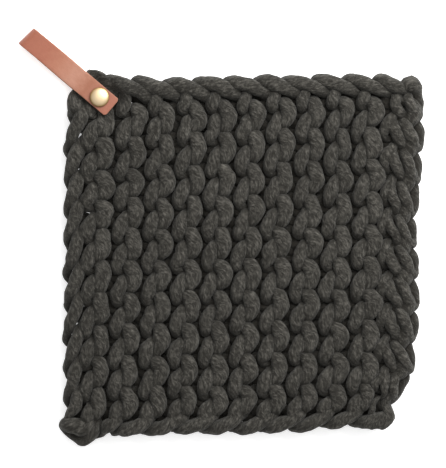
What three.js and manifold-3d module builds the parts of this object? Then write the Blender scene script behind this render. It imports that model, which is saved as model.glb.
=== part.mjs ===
// A square hand-knitted pot holder with a folded leather hanging loop.
//
// Thick cotton yarn in garter stitch: the ridges run along Y, and each is a column of
// right-hand heads and left-hand sinkers, the two yarn arcs that show on that side.
// The loop is one leather strip folded back on itself, with both legs clasping the
// top-left corner under a domed rivet. Millimetres, +Z up, lying flat on z = 0.

import * as THREE from 'three';
import { mergeVertices } from 'three/addons/utils/BufferGeometryUtils.js';
import Module from 'manifold-3d';

const wasm = await Module();
wasm.setup();

// ---------------------------------------------------------------- driving dimensions
const RIDGE_COUNT = 10;
const RIDGE_PITCH = 16.74;        // one ridge to the next, across the knit
const STITCH_COUNT = 10;          // heads in a ridge
const STITCH_PITCH = 17.73;       // one head to the next, along a ridge
const YARN_RADIUS = 3.9;
const MAT_THICKNESS = 16.8;

// The knit is laid out flat as (a, b): a = 0 on the first ridge, b = 0 on the lowest heads.
// Its points are on a grid with whole steps to a pitch, and to each margin.
const STEPS_PER_PITCH = 6;
const STEP_A = RIDGE_PITCH / STEPS_PER_PITCH;
const STEP_B = STITCH_PITCH / STEPS_PER_PITCH;
const LEFT_STEPS = 6;             // first ridge to the cast-on edge
const RIGHT_STEPS = 10;           // last ridge to the bound-off edge
const TOP_STEPS = 8;              // highest heads to the top edge
const BOTTOM_STEPS = 7;           // lowest heads to the bottom edge
const CORNER_ROUND = 10;
const HOLLOW_FLOOR = 9.2;         // deepest point between the ridges
const RIDGE_CORE = 9.4;           // middle of the crossing legs inside a ridge
const EDGE_MIDDLE = 7.6;          // height of the widest line round the edge
const RIDGE_LEAN = 0.0333;        // sideways run of a ridge for each mm upwards
const ROW_RISE = 0.0167;          // upward run of a row for each mm to the right
const SWAY_REACH = 30;            // how far in from an edge its sway is felt

const STRAP_WIDTH = 12.2;
const LEATHER = 1.6;              // thickness of the leather
const STRAP_ANGLE = 139.9;        // degrees, the way the loop points from the rivet
const STRAP_TAIL = 8.7;           // rivet to the cut ends
const STRAP_REACH = 53.7;         // rivet to the end of the fold
const FOLD_INNER_RADIUS = 3.3;
const FOLD_SKEW = -0.1;           // the fold is a little off square
const ROOM_REACH = 30;            // rivet to the end of the strap's room in the knit
const RIVET = { a: 0, b: 170.3 };

const CAP_RADIUS = 5.4;
const CAP_EDGE = 0.6;
const CAP_DOME = 2.1;
const POST_RADIUS = 1.5;
const HOLE_RADIUS = 1.9;
const BACK_CAP_RADIUS = 4.9;
const BACK_CAP_THICKNESS = 1.0;
const GAP = 0.3;                  // clearance between touching pieces

const MIN_A = -LEFT_STEPS * STEP_A;
const MAX_A = (RIDGE_COUNT - 1) * RIDGE_PITCH + RIGHT_STEPS * STEP_A;
const MIN_B = -BOTTOM_STEPS * STEP_B;
const MAX_B = (STITCH_COUNT - 1) * STITCH_PITCH + TOP_STEPS * STEP_B;
const MID_B = (STITCH_COUNT - 1) * STITCH_PITCH / 2;

// ------------------------------------------------------------------ how the edges lie
// How far each edge stands out (+) or in (-) from a straight line, along its length.
const SWAY = {
  right: [
    { along: -19, out: -10 }, { along: -6, out: -8 }, { along: 3, out: -3 },
    { along: 14, out: 1.6 }, { along: 26, out: 1.2 }, { along: 45, out: 3.2 },
    { along: 72, out: 2.2 }, { along: 97, out: 0 }, { along: 125, out: 1.7 },
    { along: 152, out: 2.6 }, { along: 183, out: 0.3 },
  ],
  left: [
    { along: -19, out: 0 }, { along: 10, out: 1.2 }, { along: 90, out: 0.8 },
    { along: 140, out: 1.2 }, { along: 165, out: -0.6 }, { along: 183, out: -3.5 },
  ],
  top: [
    { along: -17, out: -1 }, { along: 5, out: 1.0 }, { along: 30, out: -1.4 },
    { along: 110, out: -1.2 }, { along: 165, out: -2.2 }, { along: 179, out: -1.4 },
  ],
  bottom: [
    { along: -17, out: -0.6 }, { along: 20, out: -1.2 }, { along: 110, out: -1.2 },
    { along: 130, out: -3.4 }, { along: 165, out: -4 }, { along: 179, out: -2.4 },
  ],
};
const KNOBS = [
  { a: MIN_A + 3, b: MIN_B + 3, da: -4.4, db: -2.2, reach: 17 },
  { a: MIN_A + 13, b: MIN_B, da: 0, db: -3.6, reach: 14 },
  { a: MAX_A, b: MAX_B, da: 1.6, db: 1.2, reach: 14 },
];
const SCALLOP = 0.8;              // how far one strand stands out from the edge
const TOP_SCALLOP_AT = 7.5;
const BOTTOM_SCALLOP_AT = 2.5;
const LEFT_SCALLOP_AT = 1;
const RIGHT_SCALLOP_AT = -8;

// ---------------------------------------------------------- the yarn arcs that show
// Middle line of one strand, from its own place on the ridge: across, along and height.
const HEAD = [
  { a: -1.4, b: 7.4, z: 9.8 }, { a: 2.6, b: 5.2, z: 12.4 }, { a: 4.6, b: 0.6, z: 12.9 },
  { a: 3.8, b: -4.2, z: 12.3 }, { a: 0.2, b: -7.2, z: 9.6 },
];
const SINKER = [
  { a: 1.4, b: 8.0, z: 9.2 }, { a: -2.6, b: 4.2, z: 11.6 }, { a: -4.7, b: -0.8, z: 12.4 },
  { a: -4.3, b: -4.6, z: 11.9 }, { a: -0.6, b: -7.8, z: 9.0 },
];
const TOP_STRAND = [
  { a: -12.5, b: 3.2, z: 8.4 }, { a: -6, b: 3.4, z: 10.6 }, { a: 1, b: 1.2, z: 12.2 },
  { a: 7, b: -1.4, z: 11.6 }, { a: 10.5, b: -3.4, z: 9.2 },
];
const BOTTOM_STRAND = [
  { a: -10, b: -3.2, z: 8.4 }, { a: -4, b: -2.6, z: 10.8 }, { a: 3, b: 0.6, z: 11.8 },
  { a: 8.5, b: 3.8, z: 10.8 }, { a: 12, b: 6.2, z: 8.8 },
];
const CAST_ON_STRAND = [
  { a: 3.4, b: 9.8, z: 9.0 }, { a: 1.4, b: 5.2, z: 11.2 }, { a: -0.9, b: 0, z: 11.6 },
  { a: -1.4, b: -5, z: 10.4 }, { a: -0.6, b: -9, z: 8.6 },
];
const CHAIN_LEFT_ARM = [
  { a: -4.4, b: 8.0, z: 11.4 }, { a: -2.4, b: 2.6, z: 12.4 }, { a: 1.2, b: -4.6, z: 9.8 },
];
const CHAIN_RIGHT_ARM = [
  { a: 7.4, b: 7.0, z: 9.4 }, { a: 5.4, b: 1.6, z: 11.0 }, { a: 2.2, b: -4.6, z: 9.8 },
];
const TOP_STRAND_IN = 7.2;        // middle of the top strands, in from the edge
const BOTTOM_STRAND_IN = 6.4;
const CAST_ON_IN = 4.7;
const CHAIN_IN = 11;              // middle of the bound-off chain, in from the edge
const EDGE_STITCHES = 11;         // strands along the cast-on and bound-off edges

/** Straight-line value between the rows of a table of { along, out }. */
function swayAt(table, along) {
  const last = table.length - 1;
  if (along <= table[0].along) return table[0].out;
  if (along >= table[last].along) return table[last].out;
  const next = table.findIndex((row) => row.along > along);
  const from = table[next - 1];
  const to = table[next];
  const share = (along - from.along) / (to.along - from.along);
  return from.out + (to.out - from.out) * share * share * (3 - 2 * share);
}

/** 1 at the edge, falling smoothly to 0 at the given reach. */
function fade(distance, reach) {
  return 1 - THREE.MathUtils.smoothstep(distance, 0, reach);
}

/** Round off the square corners of the laid-out knit. */
function roundCorner(a, b) {
  const cornerA = a < 0 ? MIN_A + CORNER_ROUND : MAX_A - CORNER_ROUND;
  const cornerB = b < MID_B ? MIN_B + CORNER_ROUND : MAX_B - CORNER_ROUND;
  const u = (a - cornerA) / CORNER_ROUND * Math.sign(cornerA);
  const v = (b - cornerB) / CORNER_ROUND * Math.sign(cornerB - MID_B);
  if (u <= 0 || v <= 0) return [a, b];
  return [
    cornerA + (a - cornerA) * Math.sqrt(1 - v * v / 2),
    cornerB + (b - cornerB) * Math.sqrt(1 - u * u / 2),
  ];
}

/** Where a point (a, b) of the laid-out knit comes to lie in plan. */
function settle(a, b) {
  const turn = 2 * Math.PI;
  const topOut = swayAt(SWAY.top, a)
    + SCALLOP * Math.cos((a - TOP_SCALLOP_AT) / RIDGE_PITCH * turn) * fade(MAX_B - b, 5);
  const bottomOut = swayAt(SWAY.bottom, a)
    + SCALLOP * Math.cos((a - BOTTOM_SCALLOP_AT) / RIDGE_PITCH * turn) * fade(b - MIN_B, 5);
  const leftOut = swayAt(SWAY.left, b)
    + SCALLOP * Math.cos((b - LEFT_SCALLOP_AT) / STITCH_PITCH * turn) * fade(a - MIN_A, 5);
  const rightOut = swayAt(SWAY.right, b)
    + SCALLOP * Math.cos((b - RIGHT_SCALLOP_AT) / STITCH_PITCH * turn) * fade(MAX_A - a, 5);
  const leanShare = THREE.MathUtils.smoothstep(a, MIN_A, RIDGE_PITCH);

  let [x, y] = roundCorner(a, b);
  x += RIDGE_LEAN * (b - MID_B) * leanShare;
  y += ROW_RISE * a;
  x += rightOut * fade(MAX_A - a, SWAY_REACH) - leftOut * fade(a - MIN_A, SWAY_REACH);
  y += topOut * fade(MAX_B - b, SWAY_REACH) - bottomOut * fade(b - MIN_B, SWAY_REACH);
  for (const knob of KNOBS) {
    const share = fade(Math.hypot(a - knob.a, b - knob.b), knob.reach);
    x += knob.da * share;
    y += knob.db * share;
  }
  return [x, y];
}

// ------------------------------------------------------------------------ the knit
/** Points close together along one strand's middle line, moved to its place. */
function strandPoints(shape, a, b) {
  const line = new THREE.CatmullRomCurve3(
    shape.map((point) => new THREE.Vector3(a + point.a, b + point.b, point.z)));
  return line.getPoints(12);
}

/** Every strand that shows on the top face, as points along their middle lines. */
function allStrands() {
  const points = [];
  const lay = (shape, a, b) => points.push(...strandPoints(shape, a, b));
  for (let ridge = 0; ridge <= RIDGE_COUNT; ridge += 1) {
    const a = ridge * RIDGE_PITCH;
    for (let stitch = 0; stitch <= STITCH_COUNT; stitch += 1) {
      const b = stitch * STITCH_PITCH;
      if (ridge < RIDGE_COUNT && stitch < STITCH_COUNT) lay(HEAD, a, b);
      lay(SINKER, a, b - STITCH_PITCH / 2);
    }
    lay(TOP_STRAND, a, MAX_B - TOP_STRAND_IN);
    lay(BOTTOM_STRAND, a, MIN_B + BOTTOM_STRAND_IN);
  }
  for (let strand = 0; strand < EDGE_STITCHES; strand += 1) {
    const b = (strand - 0.5) * STITCH_PITCH;
    lay(CAST_ON_STRAND, MIN_A + CAST_ON_IN, b);
    lay(CHAIN_LEFT_ARM, MAX_A - CHAIN_IN, b);
    lay(CHAIN_RIGHT_ARM, MAX_A - CHAIN_IN, b);
  }
  return points;
}

/** Height of the top face at (a, b): the strands, or the hollow between them. */
function faceHeight(strands, a, b) {
  const ridge = THREE.MathUtils.clamp(Math.round(a / RIDGE_PITCH), 0, RIDGE_COUNT);
  const fromRidge = Math.min(Math.abs(a - ridge * RIDGE_PITCH), YARN_RADIUS);
  const core = RIDGE_CORE + Math.sqrt(YARN_RADIUS ** 2 - fromRidge ** 2);
  let height = Math.max(HOLLOW_FLOOR, core);
  for (const point of strands) {
    const squared = YARN_RADIUS ** 2 - (point.x - a) ** 2 - (point.y - b) ** 2;
    if (squared > 0) height = Math.max(height, point.z + Math.sqrt(squared));
  }
  return Math.min(height, MAT_THICKNESS);
}

/** The knit as one closed solid: a raised face, a rounded edge and a flat underside. */
function makeKnitGeometry() {
  const columns = Math.round((MAX_A - MIN_A) / STEP_A);
  const rows = Math.round((MAX_B - MIN_B) / STEP_B);
  const atA = (column) => MIN_A + STEP_A * column;
  const atB = (row) => MIN_B + STEP_B * row;
  const strands = allStrands();
  const positions = [];
  const triangles = [];
  const addPoint = (a, b, z) => positions.push(...settle(a, b), z) / 3 - 1;
  const heightOf = (index) => positions[index * 3 + 2];

  const face = [];
  for (let row = 0; row <= rows; row += 1) {
    face.push([]);
    for (let column = 0; column <= columns; column += 1) {
      const onEdge = row === 0 || row === rows || column === 0 || column === columns;
      const height = onEdge ? EDGE_MIDDLE : faceHeight(strands, atA(column), atB(row));
      face[row].push(addPoint(atA(column), atB(row), height));
    }
  }
  for (let row = 0; row < rows; row += 1) {
    for (let column = 0; column < columns; column += 1) {
      const [p, q] = [face[row][column], face[row][column + 1]];
      const [s, r] = [face[row + 1][column], face[row + 1][column + 1]];
      // The fold between two triangles runs along the higher diagonal.
      if (heightOf(p) + heightOf(r) > heightOf(q) + heightOf(s)) {
        triangles.push(p, q, r, p, r, s);
      } else {
        triangles.push(p, q, s, q, r, s);
      }
    }
  }

  // The edge of the face, anticlockwise, carried down to the underside.
  const edge = [];
  for (let column = 0; column < columns; column += 1) edge.push([column, 0]);
  for (let row = 0; row < rows; row += 1) edge.push([columns, row]);
  for (let column = columns; column > 0; column -= 1) edge.push([column, rows]);
  for (let row = rows; row > 0; row -= 1) edge.push([0, row]);
  const middle = new THREE.Vector2((MIN_A + MAX_A) / 2, (MIN_B + MAX_B) / 2);
  const half = new THREE.Vector2(MAX_A - middle.x, MAX_B - middle.y);
  const ringAt = (inset, z) => edge.map(([column, row]) => addPoint(
    middle.x + (atA(column) - middle.x) * (1 - inset / half.x),
    middle.y + (atB(row) - middle.y) * (1 - inset / half.y), z));
  const rings = [
    edge.map(([column, row]) => face[row][column]),
    ringAt(0.7, 3.4),
    ringAt(3.6, 0),
  ];
  for (let level = 0; level < rings.length - 1; level += 1) {
    const upper = rings[level];
    const lower = rings[level + 1];
    upper.forEach((corner, index) => {
      const next = (index + 1) % edge.length;
      triangles.push(corner, lower[index], lower[next], corner, lower[next], upper[next]);
    });
  }
  const underside = rings.at(-1);
  const outline = underside.map((index) =>
    new THREE.Vector2(positions[index * 3], positions[index * 3 + 1]));
  for (const [i, j, k] of THREE.ShapeUtils.triangulateShape(outline, [])) {
    triangles.push(underside[i], underside[k], underside[j]);
  }

  const geometry = new THREE.BufferGeometry();
  geometry.setAttribute('position', new THREE.Float32BufferAttribute(positions, 3));
  geometry.setIndex(triangles);
  return geometry;
}

// ----------------------------------------------------------------- the leather strap
// Seen from the side: distance from the rivet towards the fold, and height.
const TOP_LEG_UNDERSIDE = [
  { along: -STRAP_TAIL, z: 12.3 }, { along: -6.4, z: 12.2 }, { along: 6.4, z: 12.2 },
  { along: 10.5, z: 13.7 }, { along: 15, z: 15.1 }, { along: 19.5, z: 14.6 },
  { along: 28, z: 12.3 }, { along: 38, z: 9.7 },
];
const LOW_LEG_TOP = [
  { along: -STRAP_TAIL, z: 2.9 }, { along: 5, z: 2.9 }, { along: 12, z: 2.1 },
  { along: 18, z: LEATHER }, { along: 38, z: LEATHER },
];
const FOLD_CENTRE = {
  along: STRAP_REACH - FOLD_INNER_RADIUS - LEATHER,
  z: FOLD_INNER_RADIUS + LEATHER,
};

/** The strap's inner face from the top tail, round the fold, to the lower tail. */
function innerLine() {
  const line = (table) => new THREE.CatmullRomCurve3(
    table.map((point) => new THREE.Vector3(point.along, 0, point.z)));
  const topEnd = { along: FOLD_CENTRE.along, z: FOLD_CENTRE.z + FOLD_INNER_RADIUS };
  const lowEnd = { along: FOLD_CENTRE.along, z: FOLD_CENTRE.z - FOLD_INNER_RADIUS };
  const top = line([...TOP_LEG_UNDERSIDE, topEnd]).getPoints(26);
  const low = line([...LOW_LEG_TOP, lowEnd]).getPoints(16).reverse();
  const fold = [];
  const foldSteps = 10;
  for (let step = 1; step < foldSteps; step += 1) {
    const angle = Math.PI / 2 - Math.PI * step / foldSteps;
    fold.push(new THREE.Vector3(
      FOLD_CENTRE.along + FOLD_INNER_RADIUS * Math.cos(angle), 0,
      FOLD_CENTRE.z + FOLD_INNER_RADIUS * Math.sin(angle)));
  }
  return [...top, ...fold, ...low].map((point) =>
    new THREE.Vector2(point.x, Math.max(point.z, LEATHER)));
}

/** The line moved sideways by a distance, square to itself. */
function offsetLine(line, distance) {
  return line.map((point, index) => {
    const before = line[Math.max(index - 1, 0)];
    const after = line[Math.min(index + 1, line.length - 1)];
    const along = after.clone().sub(before).normalize();
    return new THREE.Vector2(point.x - along.y * distance, point.y + along.x * distance);
  });
}

/** A side profile given the strap's width, still along X, with its middle on y = 0. */
function acrossStrap(profile, width) {
  const geometry = new THREE.ExtrudeGeometry(new THREE.Shape(profile),
    { depth: width, bevelEnabled: false, steps: 4 });
  geometry.rotateX(Math.PI / 2);
  geometry.translate(0, width / 2, 0);
  return geometry;
}

/** The folded strip, with the fold set a little off square. */
function makeStrapGeometry() {
  const inner = innerLine();
  const outer = offsetLine(inner, LEATHER);
  for (const point of outer) point.y = Math.max(point.y, 0);
  const geometry = acrossStrap([...inner, ...outer.reverse()], STRAP_WIDTH);
  const position = geometry.getAttribute('position');
  for (let index = 0; index < position.count; index += 1) {
    const along = position.getX(index);
    const share = THREE.MathUtils.smoothstep(along, STRAP_REACH / 3, STRAP_REACH);
    position.setX(index, along - FOLD_SKEW * share * position.getY(index));
  }
  return geometry;
}

/** Room for the strap in the knit: all above the upper leg and all below the lower. */
function makeStrapRoom() {
  const start = -STRAP_TAIL - GAP;
  const above = 2 * MAT_THICKNESS;
  const below = -MAT_THICKNESS;
  const line = offsetLine(innerLine(), -GAP).filter((point) => point.x < ROOM_REACH);
  const topLine = line.filter((point) => point.y > FOLD_CENTRE.z);
  const lowLine = line.filter((point) => point.y < FOLD_CENTRE.z);
  const topProfile = [
    new THREE.Vector2(start, above), new THREE.Vector2(start, topLine[0].y),
    ...topLine, new THREE.Vector2(topLine.at(-1).x, above),
  ];
  const lowProfile = [
    new THREE.Vector2(lowLine[0].x, below), ...lowLine,
    new THREE.Vector2(start, lowLine.at(-1).y), new THREE.Vector2(start, below),
  ];
  const width = STRAP_WIDTH + 2 * GAP;
  return [acrossStrap(topProfile, width), acrossStrap(lowProfile, width)];
}

// ------------------------------------------------------------------------ the rivet
const CAP_SEAT = 12.2 + LEATHER + GAP;    // underside of the domed cap
const BACK_CAP_TOP = BACK_CAP_THICKNESS;

/** A solid of revolution about Z from { r, z } rows that start and end on the axis. */
function lathe(rows, segments) {
  const profile = rows.map((row) => new THREE.Vector2(row.r, row.z));
  const geometry = new THREE.LatheGeometry(profile, segments);
  geometry.rotateX(Math.PI / 2);
  return geometry;
}

/** The domed cap and its post in one piece. */
function makeCapGeometry() {
  const dome = [];
  const domeSteps = 7;
  for (let step = 0; step <= domeSteps; step += 1) {
    const angle = Math.PI / 2 * step / domeSteps;
    dome.push({
      r: CAP_RADIUS * Math.cos(angle),
      z: CAP_SEAT + CAP_EDGE + CAP_DOME * Math.sin(angle),
    });
  }
  dome[domeSteps].r = 0;
  return lathe([
    { r: 0, z: BACK_CAP_TOP + GAP }, { r: POST_RADIUS, z: BACK_CAP_TOP + GAP },
    { r: POST_RADIUS, z: CAP_SEAT }, { r: CAP_RADIUS - 0.3, z: CAP_SEAT }, ...dome,
  ], 36);
}

/** The flat cap under the corner. */
function makeBackCapGeometry() {
  const bevel = 0.25;
  return lathe([
    { r: 0, z: 0 }, { r: BACK_CAP_RADIUS - bevel, z: 0 }, { r: BACK_CAP_RADIUS, z: bevel },
    { r: BACK_CAP_RADIUS, z: BACK_CAP_TOP - bevel },
    { r: BACK_CAP_RADIUS - bevel, z: BACK_CAP_TOP }, { r: 0, z: BACK_CAP_TOP },
  ], 32);
}

/** A round hole's waste, tall enough for every piece. */
function makeHoleGeometry() {
  const geometry = new THREE.CylinderGeometry(HOLE_RADIUS, HOLE_RADIUS, 60, 20);
  geometry.rotateX(Math.PI / 2);
  return geometry;
}

// -------------------------------------------------------------------- joins and cuts
/** A closed mesh as a solid that can be cut. */
function toSolid(geometry) {
  const bare = geometry.clone();
  bare.deleteAttribute('normal');
  bare.deleteAttribute('uv');
  const merged = mergeVertices(bare, 1e-4);
  return new wasm.Manifold(new wasm.Mesh({
    numProp: 3,
    vertProperties: new Float32Array(merged.getAttribute('position').array),
    triVerts: new Uint32Array(merged.getIndex().array),
  }));
}

/** A solid back as three.js geometry. */
function toGeometry(solid) {
  const mesh = solid.getMesh();
  const geometry = new THREE.BufferGeometry();
  geometry.setAttribute('position', new THREE.Float32BufferAttribute(mesh.vertProperties, 3));
  geometry.setIndex([...mesh.triVerts]);
  geometry.computeVertexNormals();
  return geometry;
}

/** One geometry with others cut out of it. */
function cut(geometry, ...tools) {
  return toGeometry(tools.reduce((solid, tool) => solid.subtract(toSolid(tool)),
    toSolid(geometry)));
}

// --------------------------------------------------------------------- the pot holder
function makePiece(name, geometry, colour, roughness, metalness) {
  const material = new THREE.MeshStandardMaterial({ color: colour, roughness, metalness });
  const mesh = new THREE.Mesh(geometry, material);
  mesh.name = name;
  return mesh;
}

const [rivetX, rivetY] = settle(RIVET.a, RIVET.b);
const atRivet = (geometry) => geometry
  .rotateZ(THREE.MathUtils.degToRad(STRAP_ANGLE)).translate(rivetX, rivetY, 0);

const knit = cut(makeKnitGeometry(), ...makeStrapRoom().map(atRivet),
  atRivet(makeHoleGeometry()));
const strap = atRivet(cut(makeStrapGeometry(), makeHoleGeometry()));
const cap = atRivet(makeCapGeometry());
const backCap = atRivet(makeBackCapGeometry());

const potHolder = new THREE.Group();
potHolder.add(
  makePiece('knit_mat', knit, 0x3d3b36, 0.95, 0),
  makePiece('leather_strap', strap, 0xbb7358, 0.6, 0),
  makePiece('rivet_cap', cap, 0xd8b878, 0.3, 1),
  makePiece('rivet_back_cap', backCap, 0xd8b878, 0.35, 1),
);

// The origin is on the surface it lies on, under the middle of its outline.
const box = new THREE.Box3().setFromObject(potHolder);
const centre = box.getCenter(new THREE.Vector3());
potHolder.position.set(-centre.x, -centre.y, -box.min.z);

export default potHolder;
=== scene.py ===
import math
import random

import bpy
import numpy as np
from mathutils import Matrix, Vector


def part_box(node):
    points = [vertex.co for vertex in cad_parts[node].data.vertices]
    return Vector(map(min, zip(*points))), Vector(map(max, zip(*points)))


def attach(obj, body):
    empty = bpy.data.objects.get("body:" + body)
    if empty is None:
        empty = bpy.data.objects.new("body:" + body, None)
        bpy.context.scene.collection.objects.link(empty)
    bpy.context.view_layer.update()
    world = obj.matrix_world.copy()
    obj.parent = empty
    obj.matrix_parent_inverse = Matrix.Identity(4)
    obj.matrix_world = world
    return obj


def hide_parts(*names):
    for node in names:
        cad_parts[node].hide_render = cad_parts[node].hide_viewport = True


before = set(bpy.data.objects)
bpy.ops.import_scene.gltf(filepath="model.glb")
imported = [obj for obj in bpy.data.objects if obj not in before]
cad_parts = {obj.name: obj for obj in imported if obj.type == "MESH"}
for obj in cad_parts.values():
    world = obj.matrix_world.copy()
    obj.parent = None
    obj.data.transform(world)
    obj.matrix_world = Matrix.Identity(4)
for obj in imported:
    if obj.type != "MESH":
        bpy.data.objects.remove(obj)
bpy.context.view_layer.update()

MM = 0.001

# ---------------------------------------------------------------- driving dimensions, mm
# The knit is first laid out square: a is across the ridges, 0 on the first one, and b is
# along them, 0 at the lowest stitch.
RIDGES = 10
RIDGE_PITCH = 16.74
HEADS = 10                   # heads in one ridge
STITCH_PITCH = 17.73
HALF = RIDGE_PITCH / 2       # one knitted row to the next
LAST_ROW = 2 * RIDGES
TOP = (HEADS - 1) * STITCH_PITCH
MIN_A, MAX_A = -RIDGE_PITCH, (RIDGES - 1) * RIDGE_PITCH + 27.9
MIN_B, MAX_B = -20.685, TOP + 23.64
MID_B = TOP / 2
MIDDLE = 8.4                 # height of the fabric's middle above the table
FLAT_FROM, FLAT_TO = 5.4, 8.33   # yarn further out than this is pressed flat

STRAP_WIDTH = 12.2
LEATHER = 1.6
STRAP_ANGLE = math.radians(139.9)
STRAP_TAIL = 9.2             # from the rivet to the tail
FOLD_ALONG, FOLD_Z = 49.3, 4.98
FOLD_RADIUS = 4.1            # of the middle of the leather
FOLD_SKEW = -0.1             # along, for each mm across
UNDER_LEG_OUT = 0.4          # the lower leg shows beside the upper one
# Middle of the leather seen from the side: along from the rivet, and height.
TOP_LEG = [(-9.2, 13.1), (-6.4, 13.0), (0, 13.0), (6.4, 13.0), (10.5, 14.5), (15, 15.85),
           (19.5, 15.4), (28, 13.2), (38, 10.6), (FOLD_ALONG, FOLD_Z + FOLD_RADIUS)]
LOW_LEG = [(-9.2, 2.1), (5, 2.1), (12, 1.4), (18, 0.9), (38, 0.86),
           (FOLD_ALONG, FOLD_Z - FOLD_RADIUS)]
CLASP_GAP = 0.25             # between the leather and the yarn in its clasp
CLASP_FULL, CLASP_REACH = 0.6, 6     # clasped to this far beside it, and free this much further

POST_RADIUS = 1.5
POST_ROOM = 1.9              # no yarn comes nearer to the middle of the post
RIVET_A, RIVET_B = 0.0, 170.3
rivet_low, rivet_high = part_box("rivet_cap")
RIVET_X = (rivet_low[0] + rivet_high[0]) / 2 / MM
RIVET_Y = (rivet_low[1] + rivet_high[1]) / 2 / MM

# ------------------------------------------------------------------- how the knit settles
# How far each edge stands out from a straight line: (place along the edge, out), mm.
SWAY = {
    "right": [(-19, -10), (-6, -8), (3, -3), (14, 1.6), (26, 1.2), (45, 3.2), (72, 2.2),
              (97, 0), (125, 1.7), (152, 2.6), (183, 0.3)],
    "left": [(-19, 0), (10, 1.2), (90, 0.8), (140, 1.2), (165, -0.6), (183, -3.5)],
    "top": [(-17, -1), (0, 1), (10, -0.3), (30, -1.4), (110, -1.2), (165, -2.2), (179, -1.4)],
    "bottom": [(-17, -0.6), (20, -1.2), (110, -1.2), (130, -3.4), (165, -4), (179, -2.4)],
}
SWAY_REACH = 30
RIDGE_LEAN = 0.0333          # across, for each mm along a ridge
ROW_RISE = 0.0167            # along, for each mm across
CORNER_ROUND = 10
# Corners that stand out, with the yarn's ends knotted in or a wide turn: place, how far
# out, and reach.
KNOBS = [
    (MIN_A + 3, MIN_B + 3, -4.4, -2.2, 17),
    (MIN_A + 13, MIN_B, 0, -3.6, 14),
    (MAX_A, MAX_B, 1.6, 1.2, 14),
    (MAX_A - 3, MIN_B + 3, 2.4, -1.7, 13),
]
# Stretches of the knit that are drawn out of place: where, how far, and over what reach.
PULLS = [
    (0, 8 * STITCH_PITCH, 0, -2.6, 45),
    (8 * RIDGE_PITCH, 9 * STITCH_PITCH, 0, 1.5, 70),
    (9 * RIDGE_PITCH, 8.3 * STITCH_PITCH, -2.4, 0, 28),
    (MAX_A - 2, 1, -1.4, 0.3, 16),
]
TOP_HELD, TOP_FREED = 6, 18  # the pulls leave the top edge alone, and act fully below it


def smooth(t):
    t = np.clip(t, 0, 1)
    return t * t * (3 - 2 * t)


def rise(value, start, end):
    """0 up to the start, rising smoothly to 1 at the end."""
    return smooth((value - start) / (end - start))


def fade(distance, reach):
    """1 at the edge, falling smoothly to 0 at the given reach."""
    return 1 - smooth(distance / reach)


def sway(side, along):
    """How far the edge stands out at each place along it."""
    places, outs = zip(*SWAY[side])
    place = np.clip(along, places[0], places[-1])
    index = np.clip(np.searchsorted(places, place, side="right") - 1, 0, len(places) - 2)
    start, end = np.take(places, index), np.take(places, index + 1)
    low, high = np.take(outs, index), np.take(outs, index + 1)
    return low + (high - low) * rise(place, start, end)


def settle(a, b):
    """Plan position of the point (a, b) of the knit laid out square, mm in the frame."""
    corner_a = np.where(a < 0, MIN_A + CORNER_ROUND, MAX_A - CORNER_ROUND)
    corner_b = np.where(b < MID_B, MIN_B + CORNER_ROUND, MAX_B - CORNER_ROUND)
    u = np.clip((a - corner_a) / CORNER_ROUND * np.where(a < 0, -1, 1), 0, 1.2)
    v = np.clip((b - corner_b) / CORNER_ROUND * np.where(b < MID_B, -1, 1), 0, 1.2)
    in_corner = (u > 0) & (v > 0)
    x = np.where(in_corner, corner_a + (a - corner_a) * np.sqrt(1 - v * v / 2), a)
    y = np.where(in_corner, corner_b + (b - corner_b) * np.sqrt(1 - u * u / 2), b)
    x = x + RIDGE_LEAN * (b - MID_B) * rise(a, MIN_A, RIDGE_PITCH)
    y = y + ROW_RISE * a
    x = x + sway("right", b) * fade(MAX_A - a, SWAY_REACH)
    x = x - sway("left", b) * fade(a - MIN_A, SWAY_REACH)
    y = y + sway("top", a) * fade(MAX_B - b, SWAY_REACH)
    y = y - sway("bottom", a) * fade(b - MIN_B, SWAY_REACH)
    below_top = rise(MAX_B - b, TOP_HELD, TOP_FREED)
    for pull_a, pull_b, along_a, along_b, reach in PULLS:
        share = fade(np.hypot(a - pull_a, b - pull_b), reach) * below_top
        x = x + along_a * share
        y = y + along_b * share
    for knob_a, knob_b, out_a, out_b, reach in KNOBS:
        share = fade(np.hypot(a - knob_a, b - knob_b), reach)
        x = x + out_a * share
        y = y + out_b * share
    return x, y


rivet_plan = settle(np.array([RIVET_A]), np.array([RIVET_B]))
SHIFT_X = RIVET_X - rivet_plan[0][0]
SHIFT_Y = RIVET_Y - rivet_plan[1][0]

# ----------------------------------------------------------------- the yarn's own course
# Every knot says how far across the fabric, how far along the ridge, how far out of the
# fabric's middle towards the face, and the yarn's radius. Squeezed yarn is thinner.

# One stitch, from the middle of one sinker to the next, from the sinker's own ridge.
STITCH = [
    # across, along, out, radius
    (-4.1, -10.2, 4.3, 4.05),
    (-3.0, -6.6, 4.4, 4.15),
    (-1.3, -3.2, 3.5, 3.5),
    (1.2, -1.4, 0.9, 2.9),
    (5.4, -3.8, -0.2, 2.8),
    (9.2, -7.6, -2.0, 3.2),
    (11.3, -6.7, -3.9, 3.85),
    (12.7, -3.2, -4.7, 4.4),
    (12.8, 0.4, -4.7, 4.5),
    (10.9, 4.6, -4.1, 3.9),
    (8.6, 6.1, -2.1, 3.2),
    (6.0, 4.7, 0.0, 2.8),
    (0.4, 2.4, 0.6, 2.8),
    (-3.8, 2.6, 2.0, 3.1),
    (-4.7, 4.8, 3.7, 3.6),
]
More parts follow.
